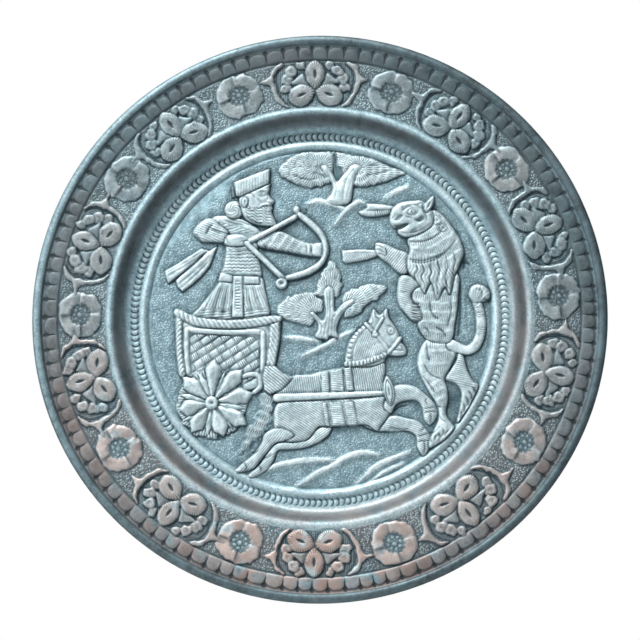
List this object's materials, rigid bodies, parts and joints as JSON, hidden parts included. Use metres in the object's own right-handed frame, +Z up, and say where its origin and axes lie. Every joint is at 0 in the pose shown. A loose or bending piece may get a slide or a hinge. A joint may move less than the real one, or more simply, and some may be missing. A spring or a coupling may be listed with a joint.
{
  "type": "repousse wall plaque",
  "caption": "Round tinned copper wall plaque: hunting scene in low relief, floral border, punched ring and rolled edge.",
  "frame": {"origin": "centre of the flat back of the well, on the wall", "axes": "+Z up, +X to the right seen from the front, -Y out of the wall towards the viewer, +Y into the wall"},
  "size_m": [0.3, 0.0109, 0.3],
  "materials": {
    "tinned_copper": "tinned copper, worn to copper on the high parts of the border, dark patina in the grooves"
  },
  "bodies": {
    "root": {"copper_plaque": "tinned_copper"}
  },
  "joints": []
}
